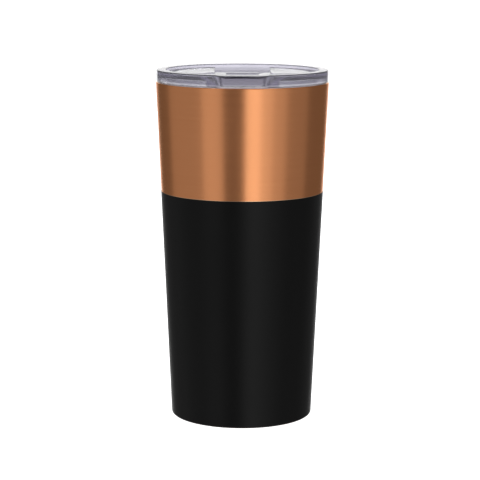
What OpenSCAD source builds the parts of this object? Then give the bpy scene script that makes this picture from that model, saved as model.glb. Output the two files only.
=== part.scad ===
// Insulated tumbler, about 590 ml: a double-walled steel body with a copper finish above a black
// coat, and a clear push-in lid with a sliding drink closure.
// Origin: centre of the ring that the body stands on. +Z is up and -Y is the drinker's side,
// where the lid has its drink slot and its lift tab.

/* [Body] */
// Height of the steel body, from the ring it stands on to its rim
body_h = 168.6; // [120:0.2:220]
// Outer diameter of the steel at the rim
rim_d = 86; // [70:0.2:110]
// Outer diameter of the steel at the base
base_d = 70.6; // [56:0.2:90]
// Thickness of the outer shell
shell_t = 0.6; // [0.4:0.05:0.9]
// Rounding of the shell's bottom corner
foot_round = 1; // [1:0.1:3]
// Rounding of the shell's top corner
rim_round = 0.8; // [0.7:0.1:1.2]
// Width of the rim's flat top, from the outer edge to the mouth bore
rim_w = 2.4; // [2:0.1:5]

/* [Finish] */
// Height of the bare copper-finished band below the rim
copper_h = 54.7; // [20:0.1:90]
// Thickness of the black coat
coat_t = 0.12; // [0.05:0.01:0.3]

/* [Vacuum wall] */
// Thickness of the inner liner
liner_t = 0.5; // [0.4:0.05:0.8]
// Vacuum gap between the shell and the liner
vacuum_gap = 3.2; // [2.5:0.1:6]
// Height of the drinking floor above the ring that the body stands on
floor_z = 9.5; // [9.4:0.1:16]
// Rounding of the liner's bottom corner, outside
liner_round = 6; // [2:0.5:14]
// Height of the cone between the straight mouth and the tapered liner wall
neck_h = 2.8; // [1.5:0.1:8]
// Thickness of the heat-shield foil on the liner
foil_t = 0.12; // [0.05:0.01:0.3]

/* [Bottom] */
// Width of the ring that the body stands on, from the base's outer edge
foot_w = 2.4; // [2:0.1:6]
// Height of the base plate above the surface that the body stands on
plate_recess = 1.6; // [0.8:0.1:1.8]
// Thickness of the base plate
plate_t = 0.6; // [0.4:0.05:1]
// Thickness of the pressed outer bottom
cap_t = 0.6; // [0.4:0.05:0.8]
// Height of the pressed outer bottom's side wall
cap_h = 6; // [4:0.1:12]
// Radius of the raised middle of the outer bottom
raise_r = 24; // [21:0.5:26]
// Height of that raised middle
raise_h = 2; // [1:0.1:2.2]
// Radius of the dimple around the evacuation hole
dimple_r = 4; // [3:0.1:6]
// Depth of that dimple
dimple_h = 1.2; // [0.6:0.1:1.6]
// Radius of the evacuation hole
evac_r = 0.6; // [0.3:0.1:1.5]
// Distance of the getter from the middle of the bottom
getter_x = 14; // [13:0.5:16]
// Radius of the getter pill
getter_r = 4; // [2.5:0.1:4.4]
// Thickness of the getter pill
getter_t = 1.6; // [0.8:0.1:1.8]

/* [Lid] */
// Height of the lid's flange above the rim
lid_h = 5.8; // [4.6:0.1:10]
// Distance that the lid's edge stays inside the rim's edge
lid_inset = 0.2; // [0:0.1:1.5]
// Width of the raised ring around the lid's dish
ring_w = 4.8; // [4:0.1:8]
// Depth of the dish below that ring
dish_depth = 1.5; // [0.8:0.1:2]
// Thickness of the dish's floor
deck_t = 1.6; // [1:0.1:2.4]
// Rounding of the lid's upper edge
lid_round = 0.8; // [0.3:0.1:1.5]
// Length of the skirt that goes into the mouth
skirt_h = 12.3; // [9:0.1:25]
// Thickness of the skirt
skirt_t = 2.4; // [1.9:0.1:4]
// Clearance between the skirt and the mouth bore
skirt_gap = 0.4; // [0.2:0.05:1]
// Gap between the seated lid and the rim
seat_gap = 0.2; // [0.1:0.05:0.8]
// Reach of the lift tab beyond the lid's edge, at its top
tab_reach = 4.6; // [2:0.1:8]
// Reach of the lift tab beyond the lid's edge, at its bottom
tab_foot = 1.6; // [0.5:0.1:2]
// Width of the tab's front
tab_w = 19; // [10:0.5:26]
// Width of each sloping shoulder beside the tab's front
tab_shoulder = 3.5; // [1:0.1:8]

/* [Gasket] */
// Height of the gasket's groove in the skirt
groove_h = 3.8; // [3:0.1:5]
// Depth of that groove
groove_depth = 1.2; // [0.8:0.05:1.4]
// Height of the groove above the skirt's lower edge
groove_up = 2; // [1.5:0.1:3]
// Number of sealing fins on the gasket
fins = 3; // [1:1:4]
// Running clearance of the gasket, to the mouth bore and in its groove
gasket_gap = 0.05; // [0.03:0.01:0.1]

/* [Slide] */
// Width of the channel that the slide runs in
channel_w = 28; // [24:0.5:34]
// Thickness of the slide
slide_t = 2; // [1.8:0.1:2.4]
// Clearance around the slide
slide_gap = 0.2; // [0.1:0.05:0.3]
// Length of the slide
slide_l = 35; // [28:0.5:38]
// How far the slide travels from open to closed
slide_travel = 14; // [11:0.5:14]
// Width of the side rib beside the channel
rib_w = 2.5; // [2:0.1:4]
// Depth of the groove in each side rib
rail_depth = 1; // [0.6:0.1:1.4]
// Height of the groove in each side rib
rail_h = 0.8; // [0.6:0.1:1]
// Width of the drink slot
slot_w = 20; // [12:0.5:22]
// Length of the drink slot, front to back
slot_l = 6; // [5:0.1:7]
// Material left between the drink slot and the dish's rim
slot_edge = 5; // [4:0.1:7]
// Radius of the vent hole
vent_r = 1.2; // [0.5:0.1:2]
// Height of the slide's finger ridge
ridge_h = 1.2; // [0.6:0.1:1.4]
// Thickness of the seal under the slide
seal_t = 0.7; // [0.5:0.05:0.9]

/* [Hidden] */
$fn = 96;
over = 1; // how far a cutter runs past what it cuts

// Body: the wall leans outwards by the same slope all the way up
slope = (rim_d - base_d) / 2 / body_h;
lean = atan(slope);
band_z = body_h - copper_h;
foot_n = 8; // steps in the foot's rounding
coat_from = 3; // the coat starts at this step, just clear of the surface that the body stands on
foot_r = max(foot_round, shell_t + 0.1);
foot_c = [shell_r(foot_r) - foot_r / cos(lean), foot_r];
lip_in = base_d / 2 - foot_w;
top_r = max(rim_round, shell_t + 0.1);
rim_c = [shell_r(body_h - top_r) - top_r / cos(lean), body_h - top_r];

// Mouth and liner: the straight mouth is as deep as the lid's skirt needs
mouth_r = rim_d / 2 - rim_w;
mouth_out = mouth_r + liner_t;
mouth_round = liner_t * 0.6;
skirt_under = 0.9; // room below the skirt before the mouth starts to narrow
flange_z = body_h + seat_gap;
skirt_z = flange_z - skirt_h;
mouth_z = skirt_z - skirt_under;
neck_z = mouth_z - neck_h;
neck_bend = atan2(mouth_out - liner_r(neck_z), neck_h);
neck_lift = liner_t * tan(neck_bend / 2);
under_z = floor_z - liner_t;
liner_c = [liner_r(under_z + liner_round) - liner_round / cos(lean), under_z + liner_round];
foil_margin = 4; // bare liner left at each end of the foil

// Bottom, from the base plate upwards
land_z = plate_recess + plate_t;
raised_z = land_z + raise_h;
dimple_z = raised_z + dimple_h;
bend = cap_t * tan(22.5); // keeps the pressed bottom's wall even at its 45 degree bends
plate_gap = 0.2;
seal_rise = 0.9; // height of the sealing bead below the evacuation hole
holder_t = 0.3;
strap_w = 2.4;
getter_z = raised_z + cap_t + holder_t;

// Lid, from its top down
lid_r = rim_d / 2 - lid_inset;
lid_top = flange_z + lid_h;
dish_r = lid_r - ring_w;
deck_z = lid_top - dish_depth;
slide_sunk = 0.1; // how far the slide lies below the dish's floor
channel_z = deck_z - slide_sunk - slide_t - slide_gap;
skirt_r = mouth_r - skirt_gap;
skirt_in = skirt_r - skirt_t;
flange_round = 0.5;
groove_z = skirt_z + groove_up;
rail_z = channel_z + slide_gap + slide_t / 2 - rail_h / 2;
dish_y = sqrt(pow(dish_r, 2) - pow(channel_w / 2, 2)); // where the channel meets the ring
slot_y = -(dish_r - slot_edge); // front edge of the drink slot
vent_y = dish_r - slot_edge - vent_r;
slide_stop = 0.3; // gap between the closed slide and the ring
slide_closed = -(dish_y - slide_stop); // front edge of the slide when closed
slide_front = slide_closed + slide_travel;
ridge_w = 16;
ridge_l = 3;
seal_over = 2; // how far the seal covers past the drink slot's sides and rear
seal_wall = 1; // wall in front of the seal's pocket
seal_w = slot_w + seal_over * 2;
seal_l = slot_y + slot_l + seal_over - (slide_closed + seal_wall);

function shell_r(z) = base_d / 2 + slope * z;
function shell_in(z) = shell_r(z) - shell_t / cos(lean);
function liner_r(z) = shell_in(z) - vacuum_gap;

// Points on an arc about c, from angle a0 to a1
function arc(c, r, a0, a1, n = 6) =
  [for (i = [0:n]) c + r * [cos(a0 + (a1 - a0) * i / n), sin(a0 + (a1 - a0) * i / n)]];

// The foot's rounding from one of its steps up to the wall
function foot_arc(r, from) = arc(foot_c, r, -90 + (90 - lean) * from / foot_n, -lean, foot_n - from);

function reversed(points) = [for (i = [len(points) - 1:-1:0]) points[i]];

module turned(points) {
  rotate_extrude()
    polygon(points);
}

// Outer shell: one tapered wall with a lip turned in at the foot and at the rim
module outer_shell() {
  color("#b5764c")
    turned(concat(
      [[lip_in, 0]],
      foot_arc(foot_r, 0),
      arc(rim_c, top_r, -lean, 90),
      [[mouth_out, body_h], [mouth_out, body_h - shell_t]],
      arc(rim_c, top_r - shell_t, 90, -lean),
      reversed(foot_arc(foot_r - shell_t, 0)),
      [[lip_in, shell_t]]));
}

// Black coat: a skin over the shell from its foot to the copper band
module black_coat() {
  color("#151515")
    turned(concat(
      foot_arc(foot_r, coat_from),
      [[shell_r(band_z), band_z], [shell_r(band_z) + coat_t / cos(lean), band_z]],
      reversed(foot_arc(foot_r + coat_t, coat_from))));
}

// Inner liner: straight mouth, neck, tapered wall and rounded floor
module inner_liner() {
  color("silver")
    turned(concat(
      [[0, under_z]],
      arc(liner_c, liner_round, -90, -lean, 8),
      [[liner_r(neck_z), neck_z], [mouth_out, mouth_z], [mouth_out, body_h]],
      arc([mouth_r + mouth_round, body_h - mouth_round], mouth_round, 90, 180, 4),
      [[mouth_r, mouth_z + neck_lift],
        [liner_r(neck_z + neck_lift) - liner_t / cos(lean), neck_z + neck_lift]],
      arc(liner_c, liner_round - liner_t, -lean, -90, 8),
      [[0, floor_z]]));
}

// Heat-shield foil: wrapped round the liner's tapered wall, inside the vacuum
module heat_shield_foil() {
  low = liner_c[1] + foil_margin;
  high = neck_z - foil_margin;
  color("#c98a62")
    turned([
      [liner_r(low), low], [liner_r(low) + foil_t, low],
      [liner_r(high) + foil_t, high], [liner_r(high), high]]);
}

// Outer bottom: a pressed cap welded inside the shell, with a land for the base plate
module outer_bottom() {
  cap_top = land_z + cap_h;
  color("#9c9ea2")
    turned([
      [evac_r, dimple_z], [dimple_r, dimple_z], [dimple_r + dimple_h, raised_z],
      [raise_r, raised_z], [raise_r + raise_h, land_z],
      [shell_in(land_z), land_z], [shell_in(cap_top), cap_top],
      [shell_in(cap_top) - cap_t, cap_top], [shell_in(land_z) - cap_t, land_z + cap_t],
      [raise_r + raise_h + bend, land_z + cap_t], [raise_r + bend, raised_z + cap_t],
      [dimple_r + dimple_h + bend, raised_z + cap_t], [dimple_r + bend, dimple_z + cap_t],
      [evac_r, dimple_z + cap_t]]);
}

// Getter holder: a small dish with a strap over the pill, spot-welded inside the vacuum
module getter_holder() {
  wall_r = getter_r + holder_t * 2;
  color("#8d9094")
    translate([getter_x, 0, getter_z - holder_t])
      difference() {
        union() {
          cylinder(r = wall_r, h = holder_t + getter_t / 2);
          intersection() {
            cylinder(r = wall_r, h = getter_t + holder_t * 2);
            translate([-wall_r, -strap_w / 2, 0])
              cube([wall_r * 2, strap_w, getter_t + holder_t * 2]);
          }
        }
        translate([0, 0, holder_t])
          cylinder(r = getter_r + holder_t, h = getter_t);
      }
}

// Getter: the pill that keeps the vacuum clean
module getter() {
  edge = 0.3;
  color("#55585c")
    translate([getter_x, 0, getter_z])
      turned([[0, 0], [getter_r - edge, 0], [getter_r, edge], [getter_r, getter_t - edge],
        [getter_r - edge, getter_t], [0, getter_t]]);
}

// Vacuum seal: the glass bead that closes the evacuation hole
module vacuum_seal() {
  margin = 0.6; // bare dimple left around the bead
  bead_r = dimple_r - margin;
  color("#6f8f86")
    turned(concat(
      [[0, dimple_z + cap_t], [evac_r, dimple_z + cap_t], [evac_r, dimple_z]],
      [for (a = [0:15:90]) [bead_r * cos(a), dimple_z - seal_rise * sin(a)]]));
}

// Base plate: the disc seen from below, recessed inside the standing ring
module base_plate() {
  plate_r = lip_in - plate_gap;
  edge = plate_t / 2;
  color("#b9bbbe")
    turned([[0, plate_recess], [plate_r - edge, plate_recess], [plate_r, plate_recess + edge],
      [plate_r, land_z], [0, land_z]]);
}

// Lid gasket: a silicone ring with fins, in the skirt's groove
module lid_gasket() {
  ring_in = skirt_r - groove_depth + gasket_gap;
  band_gap = 0.2; // keeps the band between the fins inside the skirt
  ring_out = skirt_r - band_gap;
  tip_r = mouth_r - gasket_gap;
  low = groove_z + gasket_gap;
  pitch = (groove_h - gasket_gap * 2) / fins;
  fin_foot = pitch * 0.3;
  fin_tip = pitch * 0.12;
  color("#d9dcdf")
    turned(concat(
      [[ring_in, low], [ring_out, low]],
      [for (i = [0:fins - 1], p = [[ring_out, -fin_foot], [tip_r, -fin_tip], [tip_r, fin_tip],
        [ring_out, fin_foot]]) [p[0], low + pitch * (i + 0.5) + p[1]]],
      [[ring_out, low + pitch * fins], [ring_in, low + pitch * fins]]));
}

// Outline of the lift tab, seen from above, with rounded front corners
module tab_outline() {
  corner = 1.5;
  front = lid_r + tab_reach;
  turn = atan2(tab_reach, tab_shoulder); // how steeply the shoulders leave the lid's edge
  side = tab_w / 2 - corner * tan(turn / 2);
  root = tab_w / 2 + tab_shoulder;
  polygon(concat(
    [[-root, -(front - tab_reach - over)], [-root, -(front - tab_reach)]],
    arc([-side, -(front - corner)], corner, 270 - turn, 270),
    arc([side, -(front - corner)], corner, 270, 270 + turn),
    [[root, -(front - tab_reach)], [root, -(front - tab_reach - over)]]));
}

// Lift tab: full height of the flange, with its front face sloping in towards the bottom
module lift_tab() {
  slant = atan2(tab_reach - tab_foot, lid_h);
  half = tab_w / 2 + tab_shoulder;
  inner = sqrt(pow(lid_r, 2) - pow(half, 2)) - ring_w / 2;
  difference() {
    union() {
      translate([0, 0, flange_z])
        linear_extrude(lid_h)
          tab_outline();
      translate([-half, -lid_r, flange_z])
        cube([half * 2, lid_r - inner, lid_h]);
    }
    translate([0, -(lid_r + tab_foot), flange_z])
      rotate([slant, 0, 0])
        translate([-half - over, -tab_reach * 2, -over * 4])
          cube([(half + over) * 2, tab_reach * 2, lid_h * 2 + over * 4]);
  }
}

// The lid's turned form: ring, dish floor, flange and skirt with the gasket's groove
module lid_form() {
  lip = 0.4; // rounding where the ring drops into the dish
  lead = 0.6; // chamfer at the skirt's lower edge
  turned(concat(
    [[0, deck_z], [dish_r, deck_z], [dish_r, lid_top - lip], [dish_r + lip, lid_top]],
    arc([lid_r - lid_round, lid_top - lid_round], lid_round, 90, 0),
    arc([lid_r - flange_round, flange_z + flange_round], flange_round, 0, -90, 4),
    [[skirt_r, flange_z],
      [skirt_r, groove_z + groove_h], [skirt_r - groove_depth, groove_z + groove_h],
      [skirt_r - groove_depth, groove_z], [skirt_r, groove_z],
      [skirt_r, skirt_z + lead], [skirt_r - lead, skirt_z], [skirt_in, skirt_z],
      [skirt_in, deck_z - deck_t], [0, deck_z - deck_t]]));
}

// A bar across the dish, as wide as w, between two heights
module across_dish(w, low, high, r = dish_r) {
  translate([0, 0, low])
    intersection() {
      cylinder(r = r, h = high - low);
      translate([-w / 2, -r, 0])
        cube([w, r * 2, high - low]);
    }
}

// Lid body: clear moulding with a channel across its dish for the slide
module lid_body() {
  color([0.78, 0.8, 0.84, 0.45])
    difference() {
      union() {
        lid_form();
        lift_tab();
        across_dish(channel_w + rib_w * 2, channel_z - deck_t, deck_z, max(dish_r, skirt_in) + over / 2);
      }
      across_dish(channel_w, channel_z, lid_top + over);
      across_dish(channel_w + rail_depth * 2, rail_z, rail_z + rail_h);
      translate([-slot_w / 2, slot_y, channel_z - deck_t - over])
        cube([slot_w, slot_l, deck_t + over * 2]);
      translate([0, vent_y, channel_z - deck_t - over])
        cylinder(r = vent_r, h = deck_t + over * 2);
    }
}

// Slider: clear plate with side tongues and a finger ridge, shown open
module slider() {
  low = channel_z + slide_gap;
  side = channel_w / 2 - slide_gap;
  tongue = rail_depth - slide_gap;
  play = slide_gap / 2;
  color([0.72, 0.74, 0.78, 0.5])
    difference() {
      union() {
        translate([-side, slide_front, low])
          cube([side * 2, slide_l, slide_t]);
        translate([-side - tongue, slide_front, rail_z + play])
          cube([(side + tongue) * 2, slide_l, rail_h - play * 2]);
        translate([-ridge_w / 2, slide_front + ridge_l / 2, low + slide_t - over / 2])
          cube([ridge_w, ridge_l, ridge_h + over / 2]);
      }
      seal_pad(low - over, seal_t + over - play);
    }
}

// A pad the size of the slide's seal, from a height upwards
module seal_pad(low, h) {
  translate([-seal_w / 2, slide_front + seal_wall, low])
    cube([seal_w, seal_l, h]);
}

// Slider seal: the silicone pad under the slide that covers the drink slot
module slider_seal() {
  color("#cfd3d6")
    seal_pad(channel_z + slide_gap / 2, seal_t);
}

outer_shell();
black_coat();
inner_liner();
heat_shield_foil();
outer_bottom();
getter_holder();
getter();
vacuum_seal();
base_plate();
lid_gasket();
lid_body();
slider();
slider_seal();
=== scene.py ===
import math

import bpy
from mathutils import Matrix, Vector


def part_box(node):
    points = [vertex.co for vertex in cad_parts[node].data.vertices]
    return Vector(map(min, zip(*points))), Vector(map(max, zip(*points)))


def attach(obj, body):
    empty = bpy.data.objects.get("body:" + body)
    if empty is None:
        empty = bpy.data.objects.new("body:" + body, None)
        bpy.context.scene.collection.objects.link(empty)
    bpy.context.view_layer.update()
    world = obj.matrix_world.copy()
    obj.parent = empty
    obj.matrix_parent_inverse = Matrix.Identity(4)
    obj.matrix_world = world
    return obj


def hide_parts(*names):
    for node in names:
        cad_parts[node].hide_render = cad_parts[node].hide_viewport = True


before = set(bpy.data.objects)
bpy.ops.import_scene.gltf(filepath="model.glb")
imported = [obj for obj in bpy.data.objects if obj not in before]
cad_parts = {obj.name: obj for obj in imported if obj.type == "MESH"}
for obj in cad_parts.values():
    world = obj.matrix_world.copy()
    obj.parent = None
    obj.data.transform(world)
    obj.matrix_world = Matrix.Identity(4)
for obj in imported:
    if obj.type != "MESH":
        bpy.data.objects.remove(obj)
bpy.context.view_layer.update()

mm = 0.001
axisTolerance = 0.02 * mm  # how far off a ring a vertex may lie and still belong to it
planeTolerance = 0.01 * mm  # the same for a flat face
cornerTolerance = 0.1 * mm  # the same for a corner that nothing else is near
weldDistance = 0.002 * mm
cutTolerance = 0.001 * mm
facing = 0.9  # how nearly a face must look one way to be picked by it
shadeAngle = 30
flatAngle = 0.3
ringSteps = 256


def selectNothing():
    if bpy.context.object and bpy.context.object.mode != "OBJECT":
        bpy.ops.object.mode_set(mode="OBJECT")
    bpy.ops.object.select_all(action="DESELECT")


def makeActive(piece):
    selectNothing()
    piece.select_set(True)
    bpy.context.view_layer.objects.active = piece


def settle(piece):
    # object back to the origin, with its place in its mesh
    makeActive(piece)
    bpy.ops.object.transform_apply(location=True, rotation=True, scale=True)
    return piece


def namePiece(name):
    piece = bpy.context.object
    piece.name = name
    piece.data.name = name
    return piece


def startPick(piece, kind):
    makeActive(piece)
    bpy.ops.object.mode_set(mode="EDIT")
    bpy.ops.mesh.select_mode(type=kind)
    bpy.ops.mesh.select_all(action="DESELECT")
    bpy.ops.object.mode_set(mode="OBJECT")


def pickVerts(piece, wanted):
    startPick(piece, "VERT")
    for vert in piece.data.vertices:
        vert.select = wanted(vert.co)
    bpy.ops.object.mode_set(mode="EDIT")


def pickEdges(piece, wanted):
    # wanted gets both ends of an edge
    startPick(piece, "EDGE")
    verts = piece.data.vertices
    for edge in piece.data.edges:
        edge.select = wanted(verts[edge.vertices[0]].co, verts[edge.vertices[1]].co)
    bpy.ops.object.mode_set(mode="EDIT")


def pickFaces(piece, wanted):
    # wanted gets a face's centre and normal
    startPick(piece, "FACE")
    for face in piece.data.polygons:
        face.select = wanted(face.center, face.normal)
    bpy.ops.object.mode_set(mode="EDIT")


def leaveEdit():
    bpy.ops.object.mode_set(mode="OBJECT")


def radiusOf(point):
    return math.hypot(point.x, point.y)


def onRing(point, radius, height):
    return abs(radiusOf(point) - radius) < axisTolerance and abs(point.z - height) < axisTolerance


def isUpright(a, b):
    return abs(a.z - b.z) > cornerTolerance


def weldAndFaceOut():
    bpy.ops.mesh.select_all(action="SELECT")
    bpy.ops.mesh.remove_doubles(threshold=weldDistance)
    bpy.ops.mesh.normals_make_consistent(inside=False)


def turnRings(name, rings):
    # a circle extruded ring by ring, each ring given as radius and height
    selectNothing()
    startRadius, startHeight = rings[0]
    bpy.ops.mesh.primitive_circle_add(vertices=ringSteps, radius=startRadius,
                                      location=(0, 0, startHeight))
    piece = namePiece(name)
    bpy.ops.object.mode_set(mode="EDIT")
    bpy.ops.mesh.select_mode(type="EDGE")
    bpy.ops.mesh.select_all(action="SELECT")
    radius, height = startRadius, startHeight
    for nextRadius, nextHeight in rings[1:]:
        lift = {"value": (0, 0, nextHeight - height)}
        bpy.ops.mesh.extrude_region_move(TRANSFORM_OT_translate=lift)
        scale = nextRadius / radius
        bpy.ops.transform.resize(value=(scale, scale, 1), center_override=(0, 0, nextHeight))
        radius, height = nextRadius, nextHeight
    weldAndFaceOut()
    return settle(piece)


def capRing(piece, radius, height):
    # closes an open ring with a fan to the axis
    pickEdges(piece, lambda a, b: onRing(a, radius, height) and onRing(b, radius, height))
    bpy.ops.mesh.extrude_region_move()
    bpy.ops.mesh.merge(type="CENTER")
    weldAndFaceOut()
    leaveEdit()


def roundRing(piece, radius, height, offset, segments):
    pickEdges(piece, lambda a, b: onRing(a, radius, height) and onRing(b, radius, height))
    bpy.ops.mesh.bevel(offset=offset, offset_type="OFFSET", segments=segments, affect="EDGES")
    leaveEdit()


def roundEdges(piece, wanted, offset, segments):
    pickEdges(piece, wanted)
    bpy.ops.mesh.bevel(offset=offset, offset_type="OFFSET", segments=segments, affect="EDGES",
                       clamp_overlap=False)
    leaveEdit()


def combine(piece, other, how):
    # how is UNION, DIFFERENCE or INTERSECT; the other shape is used up
    makeActive(piece)
    change = piece.modifiers.new(how.title(), "BOOLEAN")
    change.operation = how
    change.solver = "MANIFOLD"
    change.object = other
    bpy.ops.object.modifier_apply(modifier=change.name)
    bpy.data.objects.remove(other)


def mergeFlats(piece):
    # coplanar scraps left by the cuts become single faces
    makeActive(piece)
    bpy.ops.object.mode_set(mode="EDIT")
    bpy.ops.mesh.select_all(action="SELECT")
    bpy.ops.mesh.remove_doubles(threshold=weldDistance)
    bpy.ops.mesh.dissolve_limited(angle_limit=math.radians(flatAngle))
    leaveEdit()


def smoothShade(piece):
    makeActive(piece)
    bpy.ops.object.shade_smooth_by_angle(angle=math.radians(shadeAngle))


def addBlock(name, low, high):
    # a cube with its corners at low and high
    selectNothing()
    middle = [(a + b) / 2 for a, b in zip(low, high)]
    bpy.ops.mesh.primitive_cube_add(size=1, location=middle)
    block = namePiece(name)
    block.scale = [b - a for a, b in zip(low, high)]
    return settle(block)


def addDisc(name, radius, low, high, place=(0, 0), steps=ringSteps):
    selectNothing()
    bpy.ops.mesh.primitive_cylinder_add(vertices=steps, radius=radius, depth=high - low,
                                        location=(place[0], place[1], (low + high) / 2))
    return settle(namePiece(name))


def slicePlane(piece, point, normal, clear=False):
    # cuts across the whole piece; clear takes away the side that the normal points to
    makeActive(piece)
    bpy.ops.object.mode_set(mode="EDIT")
    bpy.ops.mesh.select_all(action="SELECT")
    bpy.ops.mesh.bisect(plane_co=point, plane_no=Vector(normal).normalized(), use_fill=clear,
                        clear_outer=clear, threshold=cutTolerance)
    leaveEdit()


def finishPiece(piece, body, slot, material, *nodes):
    # rides on its body and stands for its CAD nodes
    piece.data.materials.clear()
    piece.data.materials.append(material)
    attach(piece, body)
    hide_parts(*nodes)
    print("piece", piece.name, len(piece.data.polygons), "faces")


cup = {
    "height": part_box("outer_shell")[1].z,
    "rimRadius": 43 * mm,
    "baseRadius": 35.3 * mm,
    "shellWall": 0.6 * mm,
    "footRound": 1 * mm,
    "rimRound": 0.8 * mm,
    "lipInside": 32.9 * mm,
    "mouthRadius": 40.6 * mm,
    "linerWall": 0.5 * mm,
    "vacuumGap": 3.2 * mm,
    "bandHeight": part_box("black_coat")[1].z,
    "coatWall": 0.12 * mm,
    "coatFoot": 0.55,  # how far the coat runs in under the foot, as a share of the foot's round
    "lipRound": 0.2 * mm,
    "mouthLow": 155.6 * mm,
    "neckLow": 152.8 * mm,
    "floorHeight": 9.5 * mm,
    "floorRound": 6 * mm,
    "neckRound": 0.8 * mm,
    "neckRise": 0.4,  # how much higher the neck lies inside, as a share of the liner's wall
    "edgeShare": 0.6,  # an edge's round, as a share of its wall
}
slope = (cup["rimRadius"] - cup["baseRadius"]) / cup["height"]


def shellRadius(height):
    return cup["baseRadius"] + slope * height


def shellInside(height):
    return shellRadius(height) - cup["shellWall"]


def linerOutside(height):
    return shellInside(height) - cup["vacuumGap"]


print("stage: helpers and sizes ready")


def makeGroup(name, inputs, outputs):
    group = bpy.data.node_groups.new(name, "ShaderNodeTree")
    for label, kind, value in inputs:
        socket = group.interface.new_socket(name=label, in_out="INPUT", socket_type=kind)
        socket.default_value = value
    for label, kind in outputs:
        group.interface.new_socket(name=label, in_out="OUTPUT", socket_type=kind)
    nodes, links = group.nodes, group.links
    start = nodes.new("NodeGroupInput")
    end = nodes.new("NodeGroupOutput")
    return group, nodes, links, start, end


def mathNode(nodes, links, operation, *values):
    node = nodes.new("ShaderNodeMath")
    node.operation = operation
    for i, value in enumerate(values):
        if isinstance(value, (int, float)):
            node.inputs[i].default_value = value
        else:
            links.new(value, node.inputs[i])
    return node.outputs[0]


def remap(nodes, links, value, low, high):
    # low becomes 0 and high becomes 1, and it stops there
    node = nodes.new("ShaderNodeMapRange")
    node.inputs["From Min"].default_value = low
    node.inputs["From Max"].default_value = high
    links.new(value, node.inputs["Value"])
    return node.outputs["Result"]


def noiseNode(nodes, links, vector, scale, detail, roughness=0.5):
    node = nodes.new("ShaderNodeTexNoise")
    node.inputs["Scale"].default_value = scale
    node.inputs["Detail"].default_value = detail
    node.inputs["Roughness"].default_value = roughness
    links.new(vector, node.inputs["Vector"])
    return node.outputs["Fac"]


def scaledPlace(nodes, links, scale):
    place = nodes.new("ShaderNodeTexCoord").outputs["Object"]
    mapping = nodes.new("ShaderNodeMapping")
    mapping.inputs["Scale"].default_value = scale
    links.new(place, mapping.inputs["Vector"])
    return mapping.outputs["Vector"]


def makeBrushGroup():
    # fine lines that run round the axis: short along the height, long round the wall
    group, nodes, links, start, end = makeGroup(
        "brushedGrain",
        [("Roughness", "NodeSocketFloat", 0.3), ("Spread", "NodeSocketFloat", 0.08),
         ("Depth", "NodeSocketFloat", 0.1)],
        [("Lines", "NodeSocketFloat"), ("Roughness", "NodeSocketFloat"),
         ("Normal", "NodeSocketVector")])
    fineShare, fineStretch, broadStretch = 0.65, (25, 25, 5200), (14, 14, 900)
    fine = noiseNode(nodes, links, scaledPlace(nodes, links, fineStretch), 1, 4, 0.65)
    broad = noiseNode(nodes, links, scaledPlace(nodes, links, broadStretch), 1, 3, 0.6)
    rest = mathNode(nodes, links, "MULTIPLY", broad, 1 - fineShare)
    both = mathNode(nodes, links, "MULTIPLY_ADD", fine, fineShare, rest)
    lines = remap(nodes, links, both, 0.3, 0.7)
    offset = mathNode(nodes, links, "SUBTRACT", lines, 0.5)
    rough = mathNode(nodes, links, "MULTIPLY_ADD", offset,
                     start.outputs["Spread"], start.outputs["Roughness"])
    bump = nodes.new("ShaderNodeBump")
    bump.inputs["Distance"].default_value = 0.02 * mm
    links.new(start.outputs["Depth"], bump.inputs["Strength"])
    links.new(lines, bump.inputs["Height"])
    links.new(lines, end.inputs["Lines"])
    links.new(rough, end.inputs["Roughness"])
    links.new(bump.outputs["Normal"], end.inputs["Normal"])
    return group


def makeSmudgeGroup():
    # large soft patches from handling and wiping
    group, nodes, links, start, end = makeGroup(
        "handlingSmudges",
        [("Amount", "NodeSocketFloat", 0.05)],
        [("Mask", "NodeSocketFloat"), ("Offset", "NodeSocketFloat")])
    patches = noiseNode(nodes, links, scaledPlace(nodes, links, (1, 1, 0.6)), 38, 3, 0.55)
    mask = remap(nodes, links, patches, 0.42, 0.68)
    offset = mathNode(nodes, links, "MULTIPLY", mask, start.outputs["Amount"])
    links.new(mask, end.inputs["Mask"])
    links.new(offset, end.inputs["Offset"])
    return group


def makeEdgeGroup():
    # a line round a ring at one height, broken up by a noise: wear on the black coat's foot, paler
    # lines on the copper shell, and painted shade and painted highlight lines on the clear lid
    group, nodes, links, start, end = makeGroup(
        "ringLineWearAndPaintedLight",
        [("Height", "NodeSocketFloat", 0.0), ("Width", "NodeSocketFloat", 0.5 * mm),
         ("Breakup", "NodeSocketFloat", 0.5)],
        [("Mask", "NodeSocketFloat")])
    place = nodes.new("ShaderNodeTexCoord").outputs["Object"]
    split = nodes.new("ShaderNodeSeparateXYZ")
    links.new(place, split.inputs["Vector"])
    above = mathNode(nodes, links, "SUBTRACT", split.outputs["Z"], start.outputs["Height"])
    gap = mathNode(nodes, links, "ABSOLUTE", above)
    away = mathNode(nodes, links, "DIVIDE", gap, start.outputs["Width"])
    near = mathNode(nodes, links, "SUBTRACT", 1, away)
    chips = mathNode(nodes, links, "SUBTRACT", noiseNode(nodes, links, place, 900, 3, 0.6), 0.5)
    shift = mathNode(nodes, links, "MULTIPLY", chips, start.outputs["Breakup"])
    mask = remap(nodes, links, mathNode(nodes, links, "ADD", near, shift), 0.1, 0.5)
    links.new(mask, end.inputs["Mask"])
    return group


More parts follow.
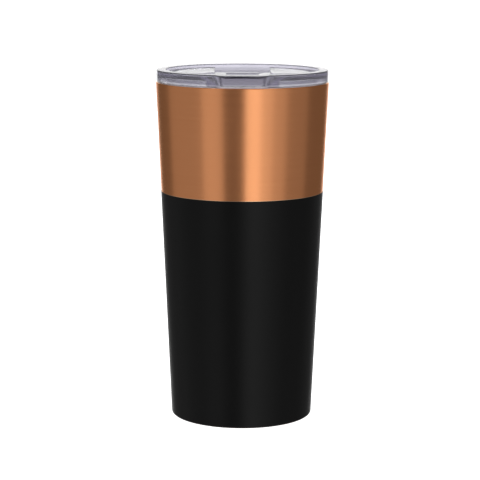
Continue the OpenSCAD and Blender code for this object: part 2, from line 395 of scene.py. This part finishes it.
def makePeelGroup():
    # the faint orange peel of a sprayed or baked coat
    group, nodes, links, start, end = makeGroup(
        "coatPeel",
        [("Size", "NodeSocketFloat", 700.0), ("Depth", "NodeSocketFloat", 0.1),
         ("Roughness", "NodeSocketFloat", 0.4), ("Spread", "NodeSocketFloat", 0.04)],
        [("Lumps", "NodeSocketFloat"), ("Roughness", "NodeSocketFloat"),
         ("Normal", "NodeSocketVector")])
    place = nodes.new("ShaderNodeTexCoord").outputs["Object"]
    noise = nodes.new("ShaderNodeTexNoise")
    noise.inputs["Detail"].default_value = 2
    links.new(place, noise.inputs["Vector"])
    links.new(start.outputs["Size"], noise.inputs["Scale"])
    lumps = noise.outputs["Fac"]
    offset = mathNode(nodes, links, "SUBTRACT", lumps, 0.5)
    rough = mathNode(nodes, links, "MULTIPLY_ADD", offset,
                     start.outputs["Spread"], start.outputs["Roughness"])
    bump = nodes.new("ShaderNodeBump")
    bump.inputs["Distance"].default_value = 0.05 * mm
    links.new(start.outputs["Depth"], bump.inputs["Strength"])
    links.new(lumps, bump.inputs["Height"])
    links.new(lumps, end.inputs["Lumps"])
    links.new(rough, end.inputs["Roughness"])
    links.new(bump.outputs["Normal"], end.inputs["Normal"])
    return group


brushGroup = makeBrushGroup()
smudgeGroup = makeSmudgeGroup()
edgeGroup = makeEdgeGroup()
peelGroup = makePeelGroup()


def newMaterial(name):
    material = bpy.data.materials.new(name)
    material.use_nodes = True
    nodes, links = material.node_tree.nodes, material.node_tree.links
    return material, nodes, links, nodes["Principled BSDF"]


def placeGroup(nodes, group, **values):
    node = nodes.new("ShaderNodeGroup")
    node.node_tree = group
    for label, value in values.items():
        node.inputs[label].default_value = value
    return node


def mixColour(nodes, links, factor, first, second):
    node = nodes.new("ShaderNodeMix")
    node.data_type = "RGBA"
    links.new(factor, node.inputs["Factor"])
    for label, value in (("A", first), ("B", second)):
        socket = next(s for s in node.inputs if s.name == label and s.type == "RGBA")
        if hasattr(value, "links"):
            links.new(value, socket)
        else:
            socket.default_value = (*value, 1)
    return next(s for s in node.outputs if s.type == "RGBA")


def brushedMetal(name, light, dark, roughness, spread, depth, anisotropic=0.0, smudge=0.03, ringLines=()):
    # the last argument holds (height, width, colour) of each line round the wall in another colour,
    # such as bare metal at a rim or a paler line at a band's edge
    material, nodes, links, shader = newMaterial(name)
    shader.inputs["Metallic"].default_value = 1
    shader.inputs["Anisotropic"].default_value = anisotropic
    grain = placeGroup(nodes, brushGroup, Roughness=roughness, Spread=spread, Depth=depth)
    touch = placeGroup(nodes, smudgeGroup, Amount=smudge)
    colour = mixColour(nodes, links, grain.outputs["Lines"], dark, light)
    for height, width, lineColour in ringLines:
        edge = placeGroup(nodes, edgeGroup, Height=height, Width=width, Breakup=0.3)
        colour = mixColour(nodes, links, edge.outputs["Mask"], colour, lineColour)
    links.new(colour, shader.inputs["Base Color"])
    links.new(mathNode(nodes, links, "ADD", grain.outputs["Roughness"], touch.outputs["Offset"]),
              shader.inputs["Roughness"])
    links.new(grain.outputs["Normal"], shader.inputs["Normal"])
    if anisotropic:
        around = nodes.new("ShaderNodeTangent")
        around.direction_type = "RADIAL"
        around.axis = "Z"
        links.new(around.outputs["Tangent"], shader.inputs["Tangent"])
    return material


def blackCoating():
    material, nodes, links, shader = newMaterial("satinBlackCoat")
    shader.inputs["Specular IOR Level"].default_value = 0.32
    peel = placeGroup(nodes, peelGroup, Size=1500.0, Depth=0.16, Roughness=0.37, Spread=0.06)
    touch = placeGroup(nodes, smudgeGroup, Amount=0.03)
    edge = placeGroup(nodes, edgeGroup, Height=0.1 * mm, Width=0.5 * mm, Breakup=0.9)
    hollow, crest, rubbed = [(grey, grey, grey) for grey in (0.0008, 0.0016, 0.006)]
    colour = mixColour(nodes, links, peel.outputs["Lumps"], hollow, crest)
    colour = mixColour(nodes, links, edge.outputs["Mask"], colour, rubbed)
    links.new(colour, shader.inputs["Base Color"])
    links.new(mathNode(nodes, links, "ADD", peel.outputs["Roughness"], touch.outputs["Offset"]),
              shader.inputs["Roughness"])
    links.new(peel.outputs["Normal"], shader.inputs["Normal"])
    return material


smokeColour = (0.5, 0.47, 0.58, 1)


def clearPlastic(name, tint, roughness, ior=1.49, clarity=1.0, smoke=0.0, edges=(), paintedTabShade=None):
    # edges holds (height, width, colour) of lines painted round the lid at moulded edges: painted
    # shade where an edge loses the light, painted highlight where one catches it the tab's entry holds
    # the y where its painted shade starts, the y where it is full, and its colour: the deeper tab
    # painted darker
    material, nodes, links, shader = newMaterial(name)
    shader.inputs["Transmission Weight"].default_value = clarity
    shader.inputs["IOR"].default_value = ior
    touch = placeGroup(nodes, smudgeGroup, Amount=0.02)
    flow = noiseNode(nodes, links, scaledPlace(nodes, links, (1, 1, 1)), 60, 2)
    colour = mixColour(nodes, links, flow, [c * 0.97 for c in tint], tint)
    # painted shade: the tab's deeper plastic painted darker by its place along y
    if paintedTabShade:
        split = nodes.new("ShaderNodeSeparateXYZ")
        links.new(nodes.new("ShaderNodeTexCoord").outputs["Object"], split.inputs["Vector"])
        shadeStart, shadeFull, paintedShadeColour = paintedTabShade
        tabShadeMask = remap(nodes, links, split.outputs["Y"], shadeStart, shadeFull)
        colour = mixColour(nodes, links, tabShadeMask, colour, paintedShadeColour)
    # painted shade and painted highlight: dark and light lines painted round the lid at given heights
    for height, width, paintedLineColour in edges:
        edge = placeGroup(nodes, edgeGroup, Height=height, Width=width, Breakup=0.2)
        colour = mixColour(nodes, links, edge.outputs["Mask"], colour, paintedLineColour)
    links.new(colour, shader.inputs["Base Color"])
    links.new(mathNode(nodes, links, "ADD", touch.outputs["Offset"], roughness),
              shader.inputs["Roughness"])
    if smoke:
        # darker the further light has to go through it
        depth = nodes.new("ShaderNodeVolumeAbsorption")
        depth.inputs["Color"].default_value = smokeColour
        depth.inputs["Density"].default_value = smoke
        links.new(depth.outputs["Volume"], nodes["Material Output"].inputs["Volume"])
    return material


def siliconeRubber():
    material, nodes, links, shader = newMaterial("clearSilicone")
    shader.inputs["Subsurface Weight"].default_value = 0.3
    shader.inputs["Subsurface Radius"].default_value = (1, 1, 1)
    shader.inputs["Subsurface Scale"].default_value = 1 * mm
    peel = placeGroup(nodes, peelGroup, Size=1200.0, Depth=0.1, Roughness=0.5, Spread=0.1)
    colour = mixColour(nodes, links, peel.outputs["Lumps"], (0.62, 0.63, 0.65), (0.7, 0.71, 0.73))
    links.new(colour, shader.inputs["Base Color"])
    links.new(peel.outputs["Roughness"], shader.inputs["Roughness"])
    links.new(peel.outputs["Normal"], shader.inputs["Normal"])
    return material


# a paler, yellower copper line along the band's lower edge, and bare steel round the rim
copperRingLines = [(cup["bandHeight"], 0.25 * mm, (0.9, 0.62, 0.42)),
              (cup["height"], 0.3 * mm, (0.93, 0.92, 0.92))]
copperFinish = brushedMetal("brushedCopper", (0.87, 0.405, 0.2), (0.83, 0.375, 0.18), 0.2, 0.05, 0.06,
                            anisotropic=0.5, ringLines=copperRingLines)
copperShader = copperFinish.node_tree.nodes["Principled BSDF"]
copperShader.inputs["Specular Tint"].default_value = (1, 0.8, 0.65, 1)
linerSteel = brushedMetal("linerSteel", (0.72, 0.72, 0.73), (0.62, 0.62, 0.63), 0.3, 0.1, 0.15,
                          anisotropic=0.3)
plateSteel = brushedMetal("plateSteel", (0.66, 0.66, 0.67), (0.58, 0.58, 0.59), 0.32, 0.1, 0.15)
pressedSteel = brushedMetal("pressedSteel", (0.6, 0.6, 0.61), (0.5, 0.5, 0.51), 0.38, 0.12, 0.1)
foilCopper = brushedMetal("foilCopper", (0.86, 0.55, 0.4), (0.8, 0.48, 0.33), 0.22, 0.1, 0.3)
getterMetal = brushedMetal("getterMetal", (0.25, 0.25, 0.26), (0.18, 0.18, 0.19), 0.6, 0.1, 0.2)
blackCoat = blackCoating()
lidLow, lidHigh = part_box("lid_body")
# painted shade: a dark line round the lid's top; painted highlight: a light one round its foot;
# painted shade: a smokier, darker tab
lidPaintedLines = [(lidHigh.z - 0.22 * mm, 0.24 * mm, (0.06, 0.06, 0.08)),
            (cup["height"] + 0.85 * mm, 0.6 * mm, (0.97, 0.97, 0.99))]
lidTabPaintedShade = (-lidHigh.x, lidLow.y + 2 * mm, (0.17, 0.16, 0.2))
clearLid = clearPlastic("smokyClearLid", (0.56, 0.55, 0.61), 0.07, clarity=0.88, smoke=35,
                        edges=lidPaintedLines, paintedTabShade=lidTabPaintedShade)
clearSlide = clearPlastic("smokyClearSlide", (0.72, 0.71, 0.76), 0.07, clarity=0.9, smoke=18)
sealGlass = clearPlastic("sealGlass", (0.35, 0.55, 0.5), 0.08, 1.52)
silicone = siliconeRubber()
print("stage: materials ready")


def buildShell():
    height, wall, lip, band = cup["height"], cup["shellWall"], cup["lipInside"], cup["bandHeight"]
    mouth = cup["mouthRadius"] + cup["linerWall"]
    shell = turnRings("copper_shell", [
        (lip, 0), (shellRadius(0), 0), (shellRadius(band), band), (shellRadius(height), height),
        (mouth, height), (mouth, height - wall), (shellInside(height), height - wall),
        (shellInside(0), wall), (lip, wall), (lip, 0)])
    roundRing(shell, shellRadius(height), height, cup["rimRound"], 6)
    roundRing(shell, shellRadius(0), 0, cup["footRound"], 6)
    roundRing(shell, lip, 0, cup["lipRound"], 2)
    smoothShade(shell)
    finishPiece(shell, "cup", "copper_finish", copperFinish, "outer_shell")


def buildCoat():
    # a thin skin over the shell, from just above the standing ring to the copper band
    low, high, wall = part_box("black_coat")[0].z, cup["bandHeight"], cup["coatWall"]
    inset = cup["coatFoot"] * cup["footRound"]
    coat = turnRings("black_skin", [
        (shellRadius(0) - inset, low), (shellRadius(0) + wall, low),
        (shellRadius(high) + wall, high), (shellRadius(high), high),
        (shellRadius(cup["footRound"]), cup["footRound"]), (shellRadius(0) - inset, low)])
    roundRing(coat, shellRadius(0) + wall, low, cup["footRound"], 6)
    roundRing(coat, shellRadius(high) + wall, high, wall * cup["edgeShare"], 3)
    smoothShade(coat)
    finishPiece(coat, "cup", "black_coat", blackCoat, "black_coat")


def buildLiner():
    # straight mouth, narrowing neck, tapered wall and rounded floor, inside and out
    wall = cup["linerWall"]
    mouth, neck, floor = cup["mouthLow"], cup["neckLow"], cup["floorHeight"]
    outside = cup["mouthRadius"] + wall
    rise = wall * cup["neckRise"]
    liner = turnRings("steel_liner", [
        (linerOutside(floor - wall), floor - wall), (linerOutside(neck), neck), (outside, mouth),
        (outside, cup["height"]), (cup["mouthRadius"], cup["height"]),
        (cup["mouthRadius"], mouth + rise), (linerOutside(neck + rise) - wall, neck + rise),
        (linerOutside(floor) - wall, floor)])
    capRing(liner, linerOutside(floor - wall), floor - wall)
    capRing(liner, linerOutside(floor) - wall, floor)
    roundRing(liner, linerOutside(floor - wall), floor - wall, cup["floorRound"], 8)
    roundRing(liner, linerOutside(floor) - wall, floor, cup["floorRound"] - wall, 8)
    roundRing(liner, cup["mouthRadius"], cup["height"], wall * cup["edgeShare"], 4)
    roundRing(liner, cup["mouthRadius"], mouth + rise, cup["neckRound"], 4)
    roundRing(liner, linerOutside(neck + rise) - wall, neck + rise, cup["neckRound"], 4)
    smoothShade(liner)
    finishPiece(liner, "cup", "liner_steel", linerSteel, "inner_liner")


baseDisc = {
    "low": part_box("base_plate")[0].z,
    "high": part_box("base_plate")[1].z,
    "radius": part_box("base_plate")[1].x,
    "panelShare": 0.72,  # radius of the set-back middle, as a share of the disc's
    "panelSlope": 1 * mm,
    "panelDepth": 0.25 * mm,
    "capShare": 0.5,  # radius where the fan on the hidden side starts
    "edgeRound": 0.3 * mm,
}


def buildBasePlate():
    # the disc seen from below, its middle set back by a shallow step
    low, high, radius = baseDisc["low"], baseDisc["high"], baseDisc["radius"]
    outer, fan = radius * baseDisc["panelShare"], radius * baseDisc["capShare"]
    inner, panel = outer - baseDisc["panelSlope"], low + baseDisc["panelDepth"]
    plate = turnRings("base_disc", [
        (inner, panel), (outer, low), (radius, low), (radius, high), (fan, high)])
    capRing(plate, inner, panel)
    capRing(plate, fan, high)
    roundRing(plate, radius, low, baseDisc["edgeRound"], 4)
    smoothShade(plate)
    finishPiece(plate, "cup", "base_steel", plateSteel, "base_plate")


lid = {
    "top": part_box("lid_body")[1].z,
    "skirtLow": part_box("lid_body")[0].z,
    "radius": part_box("lid_body")[1].x,
    "flangeLow": cup["height"] + 0.2 * mm,
    "flangeRound": 0.5 * mm,
    "ringWidth": 4.8 * mm,
    "dishDepth": 1.5 * mm,
    "dishRound": 0.5 * mm,
    "deckThickness": 1.6 * mm,
    "deckRound": 0.8 * mm,
    "deckFan": 10 * mm,  # radius where the deck's middle is closed by a fan
    "skirtRadius": cup["mouthRadius"] - 0.4 * mm,
    "skirtWall": 2.4 * mm,
    "skirtRoundOut": 0.6 * mm,
    "skirtRoundIn": 0.4 * mm,
    "grooveHeight": 3.8 * mm,
    "grooveDepth": 1.2 * mm,
    "grooveUp": 2 * mm,
    "edgeRound": 0.5 * mm,
    "channelWidth": 28 * mm,
    "channelDepth": 2.3 * mm,
    "troughOver": 0.6 * mm,  # how far the trough's ends reach into the ring
    "troughSunk": 0.4 * mm,  # how far its top lies below the dish
    "slideGap": 0.2 * mm,
    "slideThickness": 2 * mm,
    "railDepth": 1 * mm,
    "railHeight": 0.8 * mm,
    "ribWidth": 2.5 * mm,
    "slotWidth": 20 * mm,
    "slotLength": 6 * mm,
    "slotEdge": 5 * mm,
    "slotRound": 2.4 * mm,
    "ventRadius": 1.2 * mm,
    "cutOver": 5 * mm,  # how far a cutting shape runs past what it cuts
    "plugOver": 0.02 * mm,  # a plug is this much wider than the dish, so that no walls coincide
    "tabWidth": 19 * mm,
    "tabShoulder": 3.5 * mm,
    "tabFoot": 1.6 * mm,
    "tabCorner": 1.5 * mm,
    "tabRound": 0.6 * mm,
    "tabRoot": 3 * mm,  # how far the tab's block reaches into the ring
}
lid["dishRadius"] = lid["radius"] - lid["ringWidth"]
lid["deckHigh"] = lid["top"] - lid["dishDepth"]
lid["deckLow"] = lid["deckHigh"] - lid["deckThickness"]
lid["channelLow"] = lid["deckHigh"] - lid["channelDepth"]
lid["slotFront"] = -(lid["dishRadius"] - lid["slotEdge"])


def lidForm():
    # ring, dish, flange and skirt as one turned shape
    high, deck, flange = lid["top"], lid["deckHigh"], lid["flangeLow"]
    radius, dish, skirt = lid["radius"], lid["dishRadius"], lid["skirtRadius"]
    skirtIn, skirtLow = skirt - lid["skirtWall"], lid["skirtLow"]
    grooveLow = skirtLow + lid["grooveUp"]
    grooveHigh, grooveIn = grooveLow + lid["grooveHeight"], skirt - lid["grooveDepth"]
    centre = lid["deckFan"]
    form = turnRings("clear_lid", [
        (centre, deck), (dish, deck), (dish, high), (radius, high), (radius, flange), (skirt, flange),
        (skirt, grooveHigh), (grooveIn, grooveHigh), (grooveIn, grooveLow), (skirt, grooveLow),
        (skirt, skirtLow), (skirtIn, skirtLow), (skirtIn, lid["deckLow"]), (centre, lid["deckLow"])])
    capRing(form, centre, deck)
    capRing(form, centre, lid["deckLow"])
    roundRing(form, dish, deck, lid["dishRound"], 4)
    roundRing(form, dish, high, lid["dishRound"], 4)
    roundRing(form, radius, high, lid["edgeRound"], 6)
    roundRing(form, radius, flange, lid["flangeRound"], 5)
    roundRing(form, skirt, skirtLow, lid["skirtRoundOut"], 4)
    roundRing(form, skirtIn, skirtLow, lid["skirtRoundIn"], 4)
    roundRing(form, skirtIn, lid["deckLow"], lid["deckRound"], 4)
    return form


def liftTab():
    # a block whose front leans in towards the bottom, narrower in front than at its root
    reach = -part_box("lid_body")[0].y
    low, high = lid["flangeLow"], lid["top"]
    half, root = lid["tabWidth"] / 2, lid["tabWidth"] / 2 + lid["tabShoulder"]
    back = lid["radius"] - lid["tabRoot"]
    foot = lid["radius"] + lid["tabFoot"]
    tab = addBlock("lift_tab", (-root, -reach, low), (root, -back, high))
    edgeLine = math.sqrt(lid["radius"] ** 2 - root ** 2)
    for side in (-1, 1):
        # each front corner is cut off from the root to the front's end
        along = (root - half, reach - edgeLine)
        slicePlane(tab, (side * root, -edgeLine, 0), (side * along[1], -along[0], 0), clear=True)
    pickVerts(tab, lambda p: p.y < -reach + cornerTolerance and p.z < low + cornerTolerance)
    bpy.ops.transform.translate(value=(0, reach - foot, 0))
    leaveEdit()
    roundEdges(tab, lambda a, b: isUpright(a, b) and max(a.y, b.y) < -foot + cornerTolerance,
               lid["tabCorner"], 6)
    roundEdges(tab, lambda a, b: max(a.y, b.y) < -edgeLine
               and (min(a.z, b.z) > high - cornerTolerance or max(a.z, b.z) < low + cornerTolerance),
               lid["tabRound"], 4)
    return tab


def acrossDish(name, width, low, high):
    # a round plug trimmed to a straight-sided bar
    plug = addDisc(name, lid["dishRadius"] + lid["plugOver"], low, high)
    for side in (-1, 1):
        slicePlane(plug, (side * width / 2, 0, 0), (side, 0, 0), clear=True)
    return plug


def buildLid():
    form = lidForm()
    deck, channel = lid["deckHigh"], lid["channelLow"]
    under = channel - lid["deckThickness"]
    width, above = lid["channelWidth"], lid["top"] + lid["cutOver"]
    ribHalf, ribEnd = width / 2 + lid["ribWidth"], lid["dishRadius"] + lid["troughOver"]
    troughHigh = deck - lid["troughSunk"]
    trough = addBlock("trough", (-ribHalf, -ribEnd, under), (ribHalf, ribEnd, troughHigh))
    # only the two long edges below
    roundEdges(trough, lambda a, b: max(a.z, b.z) < under + cornerTolerance
               and abs(a.y - b.y) > cornerTolerance, lid["deckRound"], 4)
    combine(form, trough, "UNION")
    combine(form, liftTab(), "UNION")
    combine(form, acrossDish("channel", width, channel, above), "DIFFERENCE")
    railLow = channel + lid["slideGap"] + lid["slideThickness"] / 2 - lid["railHeight"] / 2
    rails = acrossDish("rails", width + 2 * lid["railDepth"], railLow, railLow + lid["railHeight"])
    combine(form, rails, "DIFFERENCE")
    half, front = lid["slotWidth"] / 2, lid["slotFront"]
    cutLow, cutHigh = under - lid["cutOver"], channel + lid["cutOver"]
    slot = addBlock("slot", (-half, front, cutLow), (half, front + lid["slotLength"], cutHigh))
    roundEdges(slot, isUpright, lid["slotRound"], 6)
    combine(form, slot, "DIFFERENCE")
    ventPlace = (0, lid["dishRadius"] - lid["slotEdge"] - lid["ventRadius"])
    vent = addDisc("vent", lid["ventRadius"], cutLow, cutHigh, ventPlace, steps=32)
    combine(form, vent, "DIFFERENCE")
    mergeFlats(form)
    smoothShade(form)
    form.visible_shadow = False  # light reaches the cup through the clear lid
    finishPiece(form, "lid", "clear_lid", clearLid, "lid_body")


slide = {
    "low": lid["channelLow"] + lid["slideGap"],
    "high": lid["channelLow"] + lid["slideGap"] + lid["slideThickness"],
    "front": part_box("slider")[0].y,
    "back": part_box("slider")[1].y,
    "clearance": lid["slideGap"],
    "edgeRound": 0.3 * mm,
    "pocketOver": 1 * mm,  # how far the pad's pocket is cut past the underside
    "ridgeWidth": 16 * mm,
    "ridgeLength": 3 * mm,
    "ridgeHeight": 1.2 * mm,
    "ridgeRound": 0.5 * mm,
}


def buildSlide():
    low, high, front, back = slide["low"], slide["high"], slide["front"], slide["back"]
    half = lid["channelWidth"] / 2 - slide["clearance"]
    plate = addBlock("slide_plate", (-half, front, low), (half, back, high))
    middle = (low + high) / 2
    tongueLow = middle - lid["railHeight"] / 2 + slide["clearance"] / 2
    tongueHigh = middle + lid["railHeight"] / 2 - slide["clearance"] / 2
    tongueReach = lid["railDepth"] - slide["clearance"]
    for height in (tongueLow, tongueHigh):
        slicePlane(plate, (0, 0, height), (0, 0, 1))
    for side in (-1, 1):
        pickFaces(plate, lambda c, n: n.x * side > facing and tongueLow < c.z < tongueHigh)
        bpy.ops.mesh.extrude_region_move(TRANSFORM_OT_translate={"value": (side * tongueReach, 0, 0)})
        leaveEdit()
    ridgeFront = front + slide["ridgeLength"] / 2
    ridgeBack = ridgeFront + slide["ridgeLength"]
    ridgeHalf = slide["ridgeWidth"] / 2
    for y in (ridgeFront, ridgeBack):
        slicePlane(plate, (0, y, 0), (0, 1, 0))
    for x in (-ridgeHalf, ridgeHalf):
        slicePlane(plate, (x, 0, 0), (1, 0, 0))
    pickFaces(plate, lambda c, n: n.z > facing and c.z > high - planeTolerance
              and ridgeFront < c.y < ridgeBack and abs(c.x) < ridgeHalf)
    bpy.ops.mesh.extrude_region_move(TRANSFORM_OT_translate={"value": (0, 0, slide["ridgeHeight"])})
    leaveEdit()
    padLow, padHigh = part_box("slider_seal")
    pocket = addBlock("pocket", (padLow.x, padLow.y, low - slide["pocketOver"]), padHigh)
    combine(plate, pocket, "DIFFERENCE")
    mergeFlats(plate)
    roundEdges(plate, lambda a, b: min(a.z, b.z) > high + slide["ridgeHeight"] / 2,
               slide["ridgeRound"], 4)
    roundEdges(plate, lambda a, b: max(abs(a.z - high), abs(b.z - high)) < planeTolerance
               and (min(abs(a.x), abs(b.x)) > half - planeTolerance
                    or max(a.y, b.y) < front + planeTolerance
                    or min(a.y, b.y) > back - planeTolerance), slide["edgeRound"], 3)
    smoothShade(plate)
    plate.visible_shadow = False  # as the lid it lies in
    finishPiece(plate, "slider", "clear_slider", clearSlide, "slider")


slidePad = {"cornerRound": 1.5 * mm, "edgeRound": 0.2 * mm}


def buildSlidePad():
    low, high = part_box("slider_seal")
    pad = addBlock("slide_pad", low, high)
    roundEdges(pad, isUpright, slidePad["cornerRound"], 5)
    roundEdges(pad, lambda a, b: max(a.z, b.z) < low.z + planeTolerance, slidePad["edgeRound"], 3)
    smoothShade(pad)
    finishPiece(pad, "slider", "silicone", silicone, "slider_seal")


gasket = {
    "low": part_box("lid_gasket")[0].z,
    "high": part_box("lid_gasket")[1].z,
    "tip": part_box("lid_gasket")[1].x,
    "inside": lid["skirtRadius"] - lid["grooveDepth"] + 0.05 * mm,
    "band": lid["skirtRadius"] - 0.2 * mm,
    "fins": 3,
    "rootShare": 0.3,  # half a fin's height at its root and at its tip, as shares of the pitch
    "tipShare": 0.12,
    "tipRound": 0.1 * mm,
}


def buildGasket():
    # a band with soft fins
    low, high, tip = gasket["low"], gasket["high"], gasket["tip"]
    inside, band = gasket["inside"], gasket["band"]
    pitch = (high - low) / gasket["fins"]
    root, end = pitch * gasket["rootShare"], pitch * gasket["tipShare"]
    middles = [low + pitch * (i + 0.5) for i in range(gasket["fins"])]
    rings = [(inside, low), (band, low)]
    for middle in middles:
        rings += [(band, middle - root), (tip, middle - end),
                  (tip, middle + end), (band, middle + root)]
    rings += [(band, high), (inside, high), (inside, low)]
    ring = turnRings("gasket_ring", rings)
    for middle in middles:
        for side in (-1, 1):
            roundRing(ring, tip, middle + side * end, gasket["tipRound"], 3)
    smoothShade(ring)
    finishPiece(ring, "gasket", "silicone", silicone, "lid_gasket")


def dressHiddenParts():
    # what the walls and the base disc hide keeps its own shape, with its own finish
    for node, material in (("heat_shield_foil", foilCopper), ("outer_bottom", pressedSteel),
                           ("getter_holder", pressedSteel), ("getter", getterMetal),
                           ("vacuum_seal", sealGlass)):
        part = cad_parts[node]
        part.data.materials.clear()
        part.data.materials.append(material)


buildShell()
buildCoat()
buildLiner()
buildBasePlate()
print("stage: steel body ready")
buildLid()
buildSlide()
buildSlidePad()
buildGasket()
dressHiddenParts()
print("stage: lid and hidden parts ready")


camera = {
    "place": (-0.96 * mm, -909.9 * mm, 240.8 * mm),
    "pitch": 80.499,
    "roll": 0.1935,
    "lens": 137.16,
    "sensor": 36,
    "nearClip": 0.01,
}


def buildCamera():
    data = bpy.data.cameras.new("viewpoint")
    data.lens = camera["lens"]
    data.sensor_width = camera["sensor"]
    data.clip_start = camera["nearClip"]
    eye = bpy.data.objects.new("viewpoint", data)
    bpy.context.scene.collection.objects.link(eye)
    turn = Matrix.Rotation(math.radians(camera["pitch"]), 4, "X") @ Matrix.Rotation(
        math.radians(camera["roll"]), 4, "Z")
    eye.matrix_world = Matrix.Translation(camera["place"]) @ turn
    bpy.context.scene.camera = eye


studio = {
    "distance": 1.6,
    "height": 3.4,
    "middle": 0.1,  # height of the softboxes' centres
    # azimuth from the camera's side, positive to the right; width in degrees; radiance
    "softboxes": {
        "key": (14.3, 21.4, 0.83),
        "keyEdge": (33, 16, 0.49),
        "right": (51, 20, 0.3),
        "farRight": (79, 36, 0.11),
        "left": (-40, 29, 0.375),
        "farLeft": (-84, 60, 0.17),
        "backdrop": (180, 50, 0.8),
    },
    # height and radiance
    "levelBoxes": {"overhead": (1.7, 1.2), "underneath": (-0.8, 0.42)},
    "levelSize": 1.4,
    "ambient": 0.23,
    "background": 1.1,
    "floorSize": 30,
    "floorGrey": 0.9,
    "floorRoughness": 0.9,
    "floorGlow": 0.9,
}


def buildSoftbox(name, azimuth, width, radiance):
    data = bpy.data.lights.new(name, "AREA")
    data.shape = "RECTANGLE"
    data.size = 2 * studio["distance"] * math.tan(math.radians(width / 2))
    data.size_y = studio["height"]
    data.energy = radiance * math.pi * data.size * data.size_y
    box = bpy.data.objects.new(name, data)
    bpy.context.scene.collection.objects.link(box)
    angle = math.radians(azimuth)
    place = Matrix.Translation((0, -studio["distance"], studio["middle"]))
    box.matrix_world = (Matrix.Rotation(angle, 4, "Z") @ place
                        @ Matrix.Rotation(math.radians(90), 4, "X"))
    box.visible_camera = False
    box.visible_transmission = False


def buildLevelBox(name, height, radiance):
    data = bpy.data.lights.new(name, "AREA")
    data.shape = "SQUARE"
    data.size = studio["levelSize"]
    data.energy = radiance * math.pi * data.size ** 2
    box = bpy.data.objects.new(name, data)
    bpy.context.scene.collection.objects.link(box)
    turn = 0 if height > 0 else 180  # the one under the floor shines up
    box.matrix_world = Matrix.Translation((0, 0, height)) @ Matrix.Rotation(math.radians(turn), 4, "X")
    box.visible_camera = False
    box.visible_transmission = False


def buildWorld():
    world = bpy.data.worlds.new("studio")
    bpy.context.scene.world = world
    world.use_nodes = True
    nodes, links = world.node_tree.nodes, world.node_tree.links
    nodes.clear()
    rays = nodes.new("ShaderNodeLightPath")
    seen = nodes.new("ShaderNodeBackground")
    seen.inputs["Strength"].default_value = studio["background"]
    lit = nodes.new("ShaderNodeBackground")
    lit.inputs["Strength"].default_value = studio["ambient"]
    mix = nodes.new("ShaderNodeMixShader")
    end = nodes.new("ShaderNodeOutputWorld")
    direct = mathNode(nodes, links, "MAXIMUM",
                      rays.outputs["Is Camera Ray"], rays.outputs["Is Transmission Ray"])
    links.new(direct, mix.inputs["Fac"])
    links.new(lit.outputs["Background"], mix.inputs[1])
    links.new(seen.outputs["Background"], mix.inputs[2])
    links.new(mix.outputs["Shader"], end.inputs["Surface"])


def buildFloor():
    selectNothing()
    bpy.ops.mesh.primitive_plane_add(size=studio["floorSize"], location=(0, 0, 0))
    floor = namePiece("studio_floor")
    bpy.ops.object.mode_set(mode="EDIT")
    bpy.ops.mesh.subdivide(number_cuts=3)
    leaveEdit()
    material, nodes, links, shader = newMaterial("paleFloor")
    grey = studio["floorGrey"]
    shader.inputs["Base Color"].default_value = (grey, grey, grey, 1)
    shader.inputs["Roughness"].default_value = studio["floorRoughness"]
    shader.inputs["Emission Color"].default_value = (1, 1, 1, 1)
    shader.inputs["Emission Strength"].default_value = studio["floorGlow"]
    # seen from below the floor is clear, so that the underside shows
    behind = nodes.new("ShaderNodeNewGeometry")
    clear = nodes.new("ShaderNodeBsdfTransparent")
    mix = nodes.new("ShaderNodeMixShader")
    links.new(behind.outputs["Backfacing"], mix.inputs["Fac"])
    links.new(shader.outputs["BSDF"], mix.inputs[1])
    links.new(clear.outputs["BSDF"], mix.inputs[2])
    links.new(mix.outputs["Shader"], nodes["Material Output"].inputs["Surface"])
    floor.data.materials.append(material)
    floor.visible_glossy = False
    floor.visible_shadow = False


buildCamera()
for boxName, (azimuth, width, radiance) in studio["softboxes"].items():
    buildSoftbox(boxName, azimuth, width, radiance)
for boxName, (height, radiance) in studio["levelBoxes"].items():
    buildLevelBox(boxName, height, radiance)
buildWorld()
buildFloor()
bpy.context.scene.view_settings.view_transform = "Standard"
bpy.context.scene.view_settings.look = "Medium High Contrast"
print("stage: studio ready")
